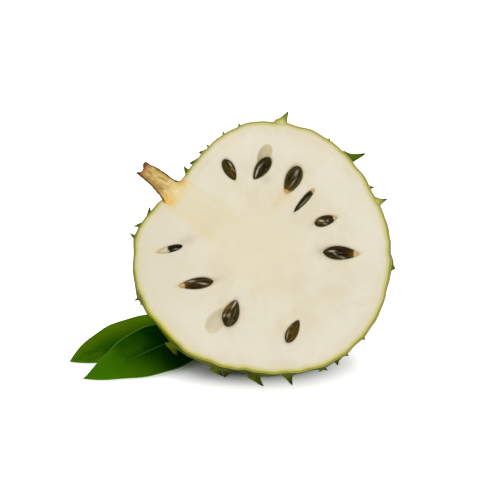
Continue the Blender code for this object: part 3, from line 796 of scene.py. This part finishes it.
class Finish:
    """One procedural material, made of nodes on Object coordinates and the pieces' own values. Three
    numbers in brackets are a colour for paint."""

    def __init__(self, name, **constants):
        self.material = bpy.data.materials.new(name)
        self.material.use_nodes = True
        self.tree = self.material.node_tree
        self.shader = self.tree.nodes["Principled BSDF"]
        self.place = self.node("ShaderNodeTexCoord", output="Object")
        self.done(**constants)

    def node(self, kind, settings=None, sockets=None, output=0):
        made = self.tree.nodes.new(kind)
        for key, value in (settings or {}).items():
            if key == "stops":
                ramp = made.color_ramp.elements
                while len(ramp) < len(value):
                    ramp.new(0.5)
                for element, (position, colour) in zip(ramp, value):
                    element.position, element.color = position, paint(*colour)
            else:
                setattr(made, key, value)
        for key, value in (sockets or {}).items():
            self.feed(made.inputs[key], value)
        return Wire(self, made.outputs[output])

    def feed(self, socket, value):
        if isinstance(value, Wire):
            self.tree.links.new(value.socket, socket)
        else:
            three = isinstance(value, tuple) and len(value) == 3
            socket.default_value = paint(*value) if three else value

    def value(self, name, output="Fac"):
        return self.node("ShaderNodeAttribute", {"attribute_name": name}, output=output)

    def axes(self):
        """The three parts of the place on the piece."""
        parts = self.node("ShaderNodeSeparateXYZ", {}, {0: self.place}).socket.node
        return [Wire(self, part) for part in parts.outputs]

    def noise(self, size, detail=3.0, roughness=0.6, place=None, distortion=0.0):
        """Noise whose features are about size metres, from 0 to 1 about 0.5."""
        return self.node("ShaderNodeTexNoise", {}, {"Vector": place or self.place, "Scale": 1.0 / size,
                         "Detail": detail, "Roughness": roughness, "Distortion": distortion})

    def streaks(self, along, across, along_scale, across_scale, level, *kind):
        """Noise drawn out along the stem."""
        place = {0: along * along_scale, 1: across * across_scale, 2: level}
        return self.noise(1.0, *kind, place=self.node("ShaderNodeCombineXYZ", {}, place))

    def mix(self, share, first, second, blend="MIX"):
        return self.node("ShaderNodeMix", {"data_type": "RGBA", "blend_type": blend},
                         {0: share, 6: first, 7: second}, output=2)

    def over(self, colour, *coats):
        """Coats laid over a colour in turn, each a share and a colour."""
        for share, coat in coats:
            colour = self.mix(share, colour, coat)
        return colour

    def ramp(self, value, stops):
        return self.node("ShaderNodeValToRGB", {"stops": stops}, {"Fac": value})

    def done(self, **sockets):
        for key, value in sockets.items():
            self.feed(self.shader.inputs[key.replace("_", " ")], value)
        return self.material

    def surface(self, colour, roughness, relief, distance, strength):
        bump = self.node("ShaderNodeBump", {}, {"Strength": strength, "Distance": distance, "Height": relief})
        return self.done(Base_Color=colour, Roughness=roughness, Normal=bump)


FLESH, FLESH_SHADE = (226, 219, 196), (220, 209, 180)
FLESH_WHITE, FLESH_LEFT = (229, 223, 206), (214, 204, 176)
CORE, FAN, FAN_PALE = (227, 216, 184), (222, 208, 162), (231, 220, 186)
# From the skin inwards, in shares of RIM_DEPTH millimetres
RIM_DEPTH = 4.0
RIM = (
    (0, (96, 99, 26)), (0.05, (126, 125, 46)), (0.13, (158, 153, 72)), (0.25, (188, 181, 96)),
    (0.38, (205, 196, 122)), (0.52, (214, 203, 146)), (0.68, (220, 208, 168)), (1, (225, 216, 192)),
)
LEMON = (1.0, 1.0, 0.15, 1.0)


def stem_colour(f, along, across):
    """Sliced wood: pale by the fruit, gold at the root's sides, tan further out with a brown lower
    side, and reddish at the torn end, streaked along its length."""
    streaks = f.streaks(along, across, 0.2, 0.6, 0.0)
    fine = f.streaks(along, across, 0.5, 2.4, 4.0, 2.0)
    patch = f.streaks(along, across, 0.45, 0.45, 9.0, 3.0, 0.65)
    patchy = 0.45 + patch.step(0.35, 0.6)
    upper = (0.0 - across).step(2.6, 6.0) * along.hill(8.5, 6.0) * patchy
    lower = across.step(1.0, 5.0) * along.hill(7.0, 7.5) * patchy
    tan = f.over(
        f.mix(streaks.step(0.32, 0.66), (178, 138, 62), (228, 204, 138)),
        ((1.0 - patch.step(0.3, 0.48)) * 0.6, (158, 110, 42)),
        (across.step(0.2, 3.4) * along.step(10.0, 15.0) * 0.7, (150, 104, 40)),
        (across.hill(-3.2, 1.9) * along.hill(19.0, 5.0) * 0.5, (200, 168, 80)),
    )
    return f.over(
        f.mix(streaks.step(0.35, 0.7), (226, 198, 126), (234, 216, 160)),
        ((upper * 0.8).least(1.0), (226, 164, 66)), ((lower * 0.85).least(1.0), (228, 180, 66)),
        (along.step(8.0, 15.5), tan), (along.step(23.5, 27.5) * 0.7, (166, 104, 50)),
        ((1.0 - fine.step(0.28, 0.45)) * along.step(9.0, 13.0) * 0.28, (140, 96, 50)),
    )


def flesh_colour(f, depth, along, across):
    """White flesh, yellower towards the core, with a fan of pale stripes from the stem's root and a
    yellow-green rim that ends in a thin dark green line at the skin."""
    x, _, z = f.axes()
    inward, leftward = 0.0 - along, (0.0 - x).step(0.03, 0.06)
    cloud, fine = f.noise(0.016, 3.0, 0.5), f.noise(0.0045)
    core = inward.step(14.0, 40.0) * (1.0 - inward.step(48.0, 78.0)) * (1.0 - abs(across).step(9.0, 24.0))
    white = depth.step(4.0, 9.0) * (1.0 - depth.step(14.0, 26.0))
    stripes = f.streaks(along, across, 0.05, 0.3, 7.0, 3.0, 0.55)
    fan = (1.0 - (0.0 - across).step(6.5, 12.5)) * (1.0 - across.step(9.6, 11.4))
    fan = fan * inward.step(-12.0, -3.0) * (1.0 - inward.step(14.0, 44.0))
    root = (1.0 - abs(across + 0.4).step(7.0, 10.5)) * along.step(-1.0, 7.5)
    # Painted shade: the flesh is darker towards its left side (FLESH_LEFT)
    flesh = f.over(
        FLESH, ((cloud * 0.75 + fine * 0.35).step(0.4, 0.72), FLESH_SHADE), (core * 0.75, CORE),
        (white * 0.5, FLESH_WHITE), (leftward * 0.45, FLESH_LEFT),
        (fan * (0.25 + 0.45 * stripes.step(0.3, 0.7)), FAN),
        (fan * stripes.step(0.55, 0.8) * 0.5, FAN_PALE), (root, stem_colour(f, along, across)),
    )
    broad = 1.0 - 0.2 * abs(x).step(0.04, 0.062)
    uneven = depth * broad * (0.8 + 0.45 * f.noise(0.005, 2.0))
    lemon = (1.0 - z.step(0.036, 0.052)) * (1.0 - 0.6 * x.step(-0.056, -0.042))
    lemon = lemon * (1.0 - depth.step(0.2, 3.6))
    faded = (1.0 - uneven.step(0.0, 0.7)) * (1.0 - leftward) * 0.85
    rim = f.over(f.ramp(uneven / RIM_DEPTH, RIM), (faded, (180, 170, 106)))
    rim = f.mix(lemon, rim, LEMON, "MULTIPLY")
    return f.mix((1.0 - depth.step(2.4, 4.6)) * (1.0 - root * 0.85), flesh, rim)


def cut_places(f):
    return f.value("depth"), f.value("stem_along"), f.value("stem_across")


def pulp_finish():
    """Moist flesh with fibres that run out from the middle, darker hollows, stains by the seeds, painted
    shade round the seeds' pockets and painted grey shadows beside them.
    """
    f = Finish("pulp_flesh", Subsurface_Weight=0.12, Subsurface_Scale=0.003, Specular_IOR_Level=0.35)
    fibre = f.noise(1.0, 4.0, place=f.value("fibre", "Vector"))
    colour = f.over(
        flesh_colour(f, *cut_places(f)), (fibre.step(0.42, 0.75) * 0.22, (222, 211, 182)),
        # Painted shade round each seed's pocket, partly a brownish stain
        (f.value("hollow") * 0.72, (200, 184, 136)), (f.value("halo") * 0.35, (196, 176, 134)),
        (f.value("warm").least(1.0) * 0.55, (222, 196, 138)),
        # Painted grey shadows in the flesh by the seeds
        (f.value("grey").least(1.0) * 0.45, (150, 144, 126)),
        (f.noise(0.0016, 0.0, 0.5).step(0.8, 0.86) * 0.25, (196, 178, 140)),
    )
    relief = f.noise(0.0022, 4.0) * 0.7 + fibre * 0.6
    rough = 0.42 + 0.2 * f.noise(0.004, 2.0, 0.55)
    return f.surface(colour, rough, relief, 0.00022, 0.6)


def rind_finish():
    """Green skin with brown spine tips and scuffs, and painted shade and light: darker in its creases
    and underneath, paler on its mounds and higher up. Its cut parts have the colours of the flesh's rim."""
    f = Finish("rind_skin", Specular_IOR_Level=0.02)
    cut, mound, crease, spine = map(f.value, ("cut", "mound", "crease", "spine"))
    z = f.axes()[2]
    cloud, fine = f.noise(0.012, 4.0), f.noise(0.0016, 4.0, 0.65)
    scuffs = f.noise(0.009, 5.0, 0.75, distortion=0.6).step(0.64, 0.72) * (1.0 - cut)
    inner = f.mix(spine.step(0.15, 0.6) * 0.85, flesh_colour(f, *cut_places(f)), (104, 128, 26))
    colour = f.over(
        (46, 56, 2), (cloud.step(0.32, 0.68), (82, 90, 6)),
        # Painted light: paler and yellower higher up, so the skin is darker underneath
        (z.step(0.015, 0.06) * 0.45, f.mix(fine, (84, 112, 14), (120, 140, 34))),
        # Painted light on the mounds and painted shade in the creases
        (mound * 0.35, (96, 106, 12)), (crease * 0.55, (36, 42, 4)),
        ((1.0 - fine.step(0.3, 0.48)) * 0.5, (32, 36, 4)),
        (f.noise(0.0042, 3.0, 0.7).step(0.6, 0.74) * 0.4, (128, 124, 30)),
        # Painted light: the spines are greener higher up
        (spine.step(0.05, 0.5) * 0.65, f.mix(z.step(0.03, 0.07), (56, 72, 6), (76, 112, 8))),
        ((spine + 0.3 * fine).step(0.75, 1.05), (44, 30, 10)), (scuffs * 0.55, (86, 70, 32)),
        (cut.step(0.35, 0.65), inner),
    )
    relief = fine * 0.8 + f.noise(0.0007, 2.0, 0.5) * 0.35
    rough = 0.5 + 0.22 * fine - 0.1 * cut
    return f.surface(colour, rough, relief, 0.00035, 0.8)


def seed_finish():
    """A dark wet coat with paler streaks along it that are partly painted highlights, a lighter keel, painted
    highlights and painted golden reflections, and a ragged tan end.
    """
    f = Finish("seed_coat", Specular_IOR_Level=0.02)
    place, coat = f.value("grain", "Vector"), f.value("coat", "Color")
    streak, fine = f.noise(1.0, 4.0, 0.65, place), f.noise(0.42, place=place)
    patch = f.noise(0.0013, 3.0, 0.65)
    # Painted golden reflections, broken up by the fine noise
    gold = (f.value("amber") * (fine.step(0.38, 0.62) + 0.25)).least(1.0)
    # Painted highlights, broken up by the fine noise
    glint = (f.value("glint") * (0.35 + 1.1 * fine.step(0.35, 0.6))).least(1.0)
    tan = f.mix(fine.step(0.35, 0.62), (160, 122, 62), (214, 188, 134))
    tan = f.mix(f.value("pale"), tan, f.mix(fine.step(0.35, 0.62), (190, 182, 132), (214, 208, 170)))
    ragged = (f.value("tan") + (patch - 0.5) * 1.1 + (fine - 0.5) * 0.8).step(0.34, 0.66)
    # Paler streaks along the coat: partly the coat's own streaks, partly painted highlights
    streaked = (0.5 * streak + 0.5 * fine).step(0.46, 0.66) * f.value("light")
    colour = f.over(
        coat, (streaked, f.mix(0.34, coat, (196, 178, 110))),
        ((1.0 - patch.step(0.3, 0.55)) * 0.7, (12, 9, 2)),
        ((1.0 - streak.step(0.3, 0.5)) * 0.6, (10, 8, 2)),
        (f.value("keel") * (0.25 + 0.5 * fine), (112, 112, 74)), (gold, (140, 100, 34)),
        (glint, (208, 198, 172)), (ragged, tan), (ragged.hill(0.42, 0.42) * 0.55, (112, 66, 20)),
    )
    relief = streak * (0.3 + f.value("ridges")) + patch * 0.5
    rough = 0.14 + 0.2 * patch + 0.25 * ragged
    return f.surface(colour, rough, relief, 0.0003, 0.7)


def stem_finish():
    """The sliced wood, brown along its edges and at its end, with bark behind and torn fibres."""
    f = Finish("stem_wood", Specular_IOR_Level=0.12)
    depth, along, across = cut_places(f)
    fine = f.noise(0.0012, 4.0, 0.7)
    edge = (1.0 - depth.step(0.45, 1.45)) * along.step(6.0, 10.0)
    colour = f.over(
        stem_colour(f, along, across), (edge * 0.95, (92, 66, 20)),
        (along.step(26.8, 28.6) * 0.85, (92, 54, 22)),
        (f.value("bark").step(0.3, 0.7), f.mix(fine.step(0.35, 0.65), (70, 46, 22), (132, 98, 54))),
        (f.value("torn").step(0.02, 0.25) * 0.85, f.mix(fine.step(0.3, 0.7), (90, 48, 22), (176, 112, 60))),
    )
    relief = f.streaks(along, across, 0.3, 2.6, 1.0, 4.0, 0.65) + 0.4 * fine
    return f.surface(colour, 0.62 + 0.2 * fine, relief, 0.0004, 0.8)


def leaf_finish(name, base, tip, reach, painted_sheen, side, middle, shine):
    """A satin blade: base colour to tip colour over the reach, a paler painted sheen on one side round
    the middle, a thin midrib, a pale margin that is partly a painted highlight, side veins that curve forward
    to the margin, and mottling."""
    f = Finish(name, Specular_IOR_Level=0.0)
    along, across, top = map(f.value, ("along", "across", "top"))
    out = abs(across)
    cloud, fine = f.noise(0.011), f.noise(0.0011)
    # A paler painted sheen on one side round the middle
    painted_sheen_share = (across * side).step(-0.1, 0.8) * along.hill(*middle) * (0.55 + 0.6 * cloud)
    veins = (along * 81.7 + out ** 1.2 * 11.9).sine().step(0.9, 1.0) * (1.0 - out.step(0.75, 1.0))
    rib = (1.0 - out.step(0.006, 0.026)) * along.step(0.2, 0.45)
    upper = f.over(
        # On the front leaf the base colour near the fruit is darker partly by painted shade
        tip, ((along + (cloud - 0.5) * 0.3).step(*reach), base), (painted_sheen_share.least(1.0), painted_sheen),
        (veins * 0.06, painted_sheen),
        # The pale margin line is partly the leaf's own pale margin and partly a painted highlight
        (out.step(0.95, 0.99) * (0.7 * shine), (110, 158, 60)), (rib * (0.6 * shine), (88, 140, 60)),
        (fine.step(0.35, 0.7) * 0.16, base),
    )
    colour = f.mix(top.step(0.3, 0.7), f.mix(cloud.step(0.3, 0.7), (92, 124, 52), (110, 140, 66)), upper)
    relief = fine * 0.5 - veins * 0.3
    return f.surface(colour, 0.34 + 0.16 * cloud, relief, 0.00018, 0.6)


# Each leaf: base colour (on the front leaf darker near the fruit, partly painted shade), tip colour, reach,
# painted sheen colour, side, middle and spread, and shine
LEAF_LOOKS = {
    "leaf_front": ((4, 50, 2), (64, 116, 4), (0.12, 0.52), (70, 120, 4), -1.0, (0.24, 0.26), 1.0),
    "leaf_back": ((28, 74, 2), (74, 114, 4), (0.0, 0.22), (84, 118, 4), 1.0, (0.45, 0.9), 0.25),
}

# ---- build
rind_material, seed_material = rind_finish(), seed_finish()
make_pulp(pulp_finish())
make_rind(rind_material, np.concatenate([field_spines()[3], edge_spines()[5]]))
make_spines(rind_material)
for seed_number, (seed_sizes, seed_look) in enumerate(zip(SEEDS, SEED_LOOKS), start=1):
    make_seed(seed_number, seed_sizes, seed_look, seed_material)
make_stem(stem_finish())
for leaf_name, leaf_sizes in LEAVES.items():
    make_leaf(leaf_name, leaf_sizes, leaf_finish(leaf_name, *LEAF_LOOKS[leaf_name]))

# ---- floor, light and camera
FLOOR_HALF = 6.0
FLOOR_DROP = 0.0002
FLOOR_GLOW = 0.7
# The oval under the fruit where the floor's painted glow fades out: its middle, squash and reach
SHADE_CENTRE = (-0.012, 0.0)
SHADE_SQUASH = (0.88, 1.72)
SHADE_REACH = (0.026, 0.066)
VIEW_DROP = 22.0
VIEW_DISTANCE = 1.0
VIEW_WIDTH = 0.265
VIEW_ASIDE = (-0.00636, -0.00106)
SENSOR_WIDTH = 36.0
ROOM_LIGHT = 0.8


def grey(level):
    return level, level, level, 1.0


def make_floor():
    """A pale sheet that glows with painted light, except in an oval under the fruit where its shadow is left
    to show.
    """
    finish = Finish("studio_floor", Roughness=0.9, Specular_IOR_Level=0.0, Emission_Strength=FLOOR_GLOW)
    colour = finish.mix(finish.noise(0.6, 2.0, 0.55), grey(0.945), grey(0.955))
    ways = zip(finish.axes(), SHADE_CENTRE, SHADE_SQUASH)
    over, back = ((way - centre) * squash for way, centre, squash in ways)
    reach = (over ** 2.0 + back ** 2.0) ** 0.5
    # The painted glow, faded out under the fruit
    glow = finish.mix(reach.step(*SHADE_REACH), grey(0.0), grey(1.0))
    mesh = bpy.data.meshes.new("studio_floor")
    corners = [(x * FLOOR_HALF, y * FLOOR_HALF, 0.0) for x, y in ((-1, -1), (1, -1), (1, 1), (-1, 1))]
    mesh.from_pydata(corners, [], [(0, 1, 2, 3)])
    mesh.materials.append(finish.done(Base_Color=colour, Emission_Color=glow))
    floor = new_object("studio_floor", mesh)
    floor.location.z = -FLOOR_DROP


def add_softbox(name, place, aim, size, power):
    data = bpy.data.lights.new(name, "AREA")
    data.shape, data.size, data.size_y, data.energy = "RECTANGLE", size, size, power
    lamp = new_object(name, data)
    lamp.location = place
    lamp.rotation_euler = (Vector(aim) - Vector(place)).to_track_quat("-Z", "Y").to_euler()


def make_camera():
    """A long lens that looks down by VIEW_DROP at a point a little aside of the face's middle."""
    drop = math.radians(VIEW_DROP)
    right, up = Vector((1, 0, 0)), Vector((0, math.sin(drop), math.cos(drop)))
    forward = Vector((0, math.cos(drop), -math.sin(drop)))
    target = Vector(FACE_CENTRE) + VIEW_ASIDE[0] * right + VIEW_ASIDE[1] * up
    data = bpy.data.cameras.new("camera")
    data.sensor_width = SENSOR_WIDTH
    data.lens = SENSOR_WIDTH * VIEW_DISTANCE / VIEW_WIDTH
    data.clip_start, data.clip_end = 0.05, 50.0
    camera = new_object("camera", data)
    facing = Matrix((right, up, -forward)).transposed().to_4x4()
    camera.matrix_world = Matrix.Translation(target - forward * VIEW_DISTANCE) @ facing
    bpy.context.scene.camera = camera


make_floor()
add_softbox("overhead", (0.0, 0.12, 1.3), (0, 0, 0), 1.1, 9.5)
add_softbox("key", (-0.25, -0.95, 1.05), (0, 0, 0.05), 0.07, 1.2)
world = bpy.data.worlds.new("studio")
world.use_nodes = True
world.node_tree.nodes["Background"].inputs["Color"].default_value = grey(1.0)
world.node_tree.nodes["Background"].inputs["Strength"].default_value = ROOM_LIGHT
bpy.context.scene.world = world
bpy.context.scene.view_settings.view_transform = "Standard"
make_camera()
